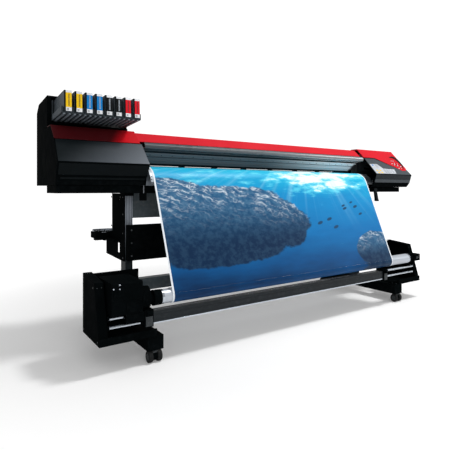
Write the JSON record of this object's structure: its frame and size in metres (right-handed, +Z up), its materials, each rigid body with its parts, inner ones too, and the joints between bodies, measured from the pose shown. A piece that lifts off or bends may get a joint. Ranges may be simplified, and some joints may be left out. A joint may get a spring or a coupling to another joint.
{
  "type": "printer cutter",
  "caption": "Wide-format roll printer cutter on a castered stand, with front ink cartridges, hinged front cover, rear supply roll and powered take-up roll.",
  "frame": {"origin": "centre of the bounding box footprint on the floor", "axes": "+X along the machine from the ink tower to the control end, +Y to the rear, +Z up"},
  "size_m": [2.56, 0.794, 1.251],
  "materials": {
    "stand_black": "satin powder coat",
    "post_aluminium": "ribbed extrusion",
    "slate_metal": "satin paint",
    "body_black": "fine grain",
    "key_plastic": "smooth",
    "cover_grey": "fine grain",
    "red_shell": "gloss",
    "rack_grey": "ribbed",
    "smoked_window": "smoked gloss",
    "inlay_black": "gloss",
    "platen_aluminium": "anodised",
    "apron_light": "satin",
    "steel_bright": "ground",
    "carriage_plastic": "fine grain",
    "roller_rubber": "matte",
    "lever_grey": "smooth",
    "vinyl_sheet": "satin vinyl film",
    "tube_silver": "satin",
    "wheel_rubber": "matte",
    "cartridge_plastic": "smooth"
  },
  "bodies": {
    "frame": {"left_foot": "stand_black", "right_foot": "stand_black", "left_post": "post_aluminium", "right_post": "post_aluminium", "left_side_plate": "stand_black", "right_side_plate": "stand_black", "stand_panel": "stand_black", "lower_crossbar": "slate_metal", "main_beam": "body_black", "left_cover": "cover_grey", "left_trim": "red_shell", "ink_tower": "body_black", "cartridge_rack": "rack_grey", "rear_cover": "body_black", "right_cover": "cover_grey", "right_wing": "red_shell", "control_inlay": "inlay_black", "platen": "platen_aluminium", "front_apron": "apron_light", "lower_panel": "slate_metal", "guide_rail": "steel_bright", "media_sheet": "vinyl_sheet", "takeup_left_frame": "stand_black", "takeup_right_frame": "stand_black", "takeup_motor": "body_black", "takeup_beam": "slate_metal", "beam_clamps": "body_black", "takeup_rods": "steel_bright"},
    "front_cover": {"cover_band": "red_shell", "front_window": "smoked_window"},
    "print_carriage": {"print_carriage": "carriage_plastic"},
    "cutting_carriage": {"cutting_carriage": "carriage_plastic"},
    "grit_roller": {"grit_roller": "steel_bright"},
    "pinch_rollers": {"pinch_rollers": "roller_rubber"},
    "loading_lever": {"loading_lever": "lever_grey"},
    "power_switch": {"power_switch": "key_plastic"},
    "supply_roll": {"supply_shaft": "steel_bright", "supply_roll": "vinyl_sheet"},
    "takeup_roll": {"takeup_tube": "tube_silver", "takeup_flanges": "body_black", "wound_media": "vinyl_sheet"},
    "ink_cartridge_1": {"ink_cartridge_1": "cartridge_plastic"},
    "ink_cartridge_2": {"ink_cartridge_2": "cartridge_plastic"},
    "ink_cartridge_3": {"ink_cartridge_3": "cartridge_plastic"},
    "ink_cartridge_4": {"ink_cartridge_4": "cartridge_plastic"},
    "ink_cartridge_5": {"ink_cartridge_5": "cartridge_plastic"},
    "ink_cartridge_6": {"ink_cartridge_6": "cartridge_plastic"},
    "ink_cartridge_7": {"ink_cartridge_7": "cartridge_plastic"},
    "ink_cartridge_8": {"ink_cartridge_8": "cartridge_plastic"},
    "control_key_1": {"control_key_1": "key_plastic"},
    "control_key_2": {"control_key_2": "key_plastic"},
    "control_key_3": {"control_key_3": "key_plastic"},
    "caster_1": {"caster_fork_1": "body_black"},
    "wheels_1": {"caster_wheels_1": "wheel_rubber"},
    "caster_2": {"caster_fork_2": "body_black"},
    "wheels_2": {"caster_wheels_2": "wheel_rubber"},
    "caster_3": {"caster_fork_3": "body_black"},
    "wheels_3": {"caster_wheels_3": "wheel_rubber"},
    "caster_4": {"caster_fork_4": "body_black"},
    "wheels_4": {"caster_wheels_4": "wheel_rubber"}
  },
  "joints": [
    {"name": "cover_hinge", "type": "hinge", "parent": "frame", "child": "front_cover", "pos_m": [0, 0.057, 1.0885], "axis": [-1, 0, 0], "range_deg": [0, 60]},
    {"name": "carriage_slide", "type": "slide", "parent": "frame", "child": "print_carriage", "axis": [1, 0, 0], "range_m": [-1.99, 0]},
    {"name": "cutter_slide", "type": "slide", "parent": "frame", "child": "cutting_carriage", "axis": [1, 0, 0], "range_m": [0, 1.985]},
    {"name": "grit_spin", "type": "hinge", "parent": "frame", "child": "grit_roller", "pos_m": [0, 0.112, 0.8976], "axis": [1, 0, 0], "continuous": true},
    {"name": "pinch_spin", "type": "hinge", "parent": "frame", "child": "pinch_rollers", "pos_m": [0, 0.112, 0.9203], "axis": [1, 0, 0], "continuous": true},
    {"name": "lever_swing", "type": "hinge", "parent": "frame", "child": "loading_lever", "pos_m": [0.909, -0.134, 0.794], "axis": [-1, 0, 0], "range_deg": [0, 35]},
    {"name": "switch_rock", "type": "hinge", "parent": "frame", "child": "power_switch", "pos_m": [1.165, 0.103, 0.792], "axis": [1, 0, 0], "range_deg": [0, 12]},
    {"name": "cartridge_slide_1", "type": "slide", "parent": "frame", "child": "ink_cartridge_1", "axis": [0, -0.9986, 0.0523], "range_m": [0, 0.25]},
    {"name": "cartridge_slide_2", "type": "slide", "parent": "frame", "child": "ink_cartridge_2", "axis": [0, -0.9986, 0.0523], "range_m": [0, 0.25]},
    {"name": "cartridge_slide_3", "type": "slide", "parent": "frame", "child": "ink_cartridge_3", "axis": [0, -0.9986, 0.0523], "range_m": [0, 0.25]},
    {"name": "cartridge_slide_4", "type": "slide", "parent": "frame", "child": "ink_cartridge_4", "axis": [0, -0.9986, 0.0523], "range_m": [0, 0.25]},
    {"name": "cartridge_slide_5", "type": "slide", "parent": "frame", "child": "ink_cartridge_5", "axis": [0, -0.9986, 0.0523], "range_m": [0, 0.25]},
    {"name": "cartridge_slide_6", "type": "slide", "parent": "frame", "child": "ink_cartridge_6", "axis": [0, -0.9986, 0.0523], "range_m": [0, 0.25]},
    {"name": "cartridge_slide_7", "type": "slide", "parent": "frame", "child": "ink_cartridge_7", "axis": [0, -0.9986, 0.0523], "range_m": [0, 0.25]},
    {"name": "cartridge_slide_8", "type": "slide", "parent": "frame", "child": "ink_cartridge_8", "axis": [0, -0.9986, 0.0523], "range_m": [0, 0.25]},
    {"name": "key_press_1", "type": "slide", "parent": "frame", "child": "control_key_1", "axis": [0, 0.7071, -0.7071], "range_m": [0, 0.0015], "stiffness_N_per_m": 300, "springref_m": -0.0005},
    {"name": "key_press_2", "type": "slide", "parent": "frame", "child": "control_key_2", "axis": [0, 0.7071, -0.7071], "range_m": [0, 0.0015], "stiffness_N_per_m": 300, "springref_m": -0.0005},
    {"name": "key_press_3", "type": "slide", "parent": "frame", "child": "control_key_3", "axis": [0, 0.7071, -0.7071], "range_m": [0, 0.0015], "stiffness_N_per_m": 300, "springref_m": -0.0005},
    {"name": "supply_spin", "type": "hinge", "parent": "frame", "child": "supply_roll", "pos_m": [0, 0.33, 0.553], "axis": [1, 0, 0], "continuous": true},
    {"name": "takeup_spin", "type": "hinge", "parent": "frame", "child": "takeup_roll", "pos_m": [0, -0.361, 0.296], "axis": [1, 0, 0], "continuous": true},
    {"name": "caster_swivel_1", "type": "hinge", "parent": "frame", "child": "caster_1", "pos_m": [-0.9106, -0.334, 0.058], "axis": [0, 0, 1], "continuous": true},
    {"name": "wheel_spin_1", "type": "hinge", "parent": "caster_1", "child": "wheels_1", "pos_m": [-0.9106, -0.352, 0.0275], "axis": [1, 0, 0], "continuous": true},
    {"name": "caster_swivel_2", "type": "hinge", "parent": "frame", "child": "caster_2", "pos_m": [-0.9106, 0.3515, 0.058], "axis": [0, 0, 1], "continuous": true},
    {"name": "wheel_spin_2", "type": "hinge", "parent": "caster_2", "child": "wheels_2", "pos_m": [-0.9106, 0.3695, 0.0275], "axis": [1, 0, 0], "continuous": true},
    {"name": "caster_swivel_3", "type": "hinge", "parent": "frame", "child": "caster_3", "pos_m": [0.8766, -0.334, 0.058], "axis": [0, 0, 1], "continuous": true},
    {"name": "wheel_spin_3", "type": "hinge", "parent": "caster_3", "child": "wheels_3", "pos_m": [0.8766, -0.352, 0.0275], "axis": [1, 0, 0], "continuous": true},
    {"name": "caster_swivel_4", "type": "hinge", "parent": "frame", "child": "caster_4", "pos_m": [0.8766, 0.3515, 0.058], "axis": [0, 0, 1], "continuous": true},
    {"name": "wheel_spin_4", "type": "hinge", "parent": "caster_4", "child": "wheels_4", "pos_m": [0.8766, 0.3695, 0.0275], "axis": [1, 0, 0], "continuous": true}
  ],
  "couplings": [
    {"joint": "pinch_spin", "follows": "grit_spin", "ratio": -1.3333}
  ]
}
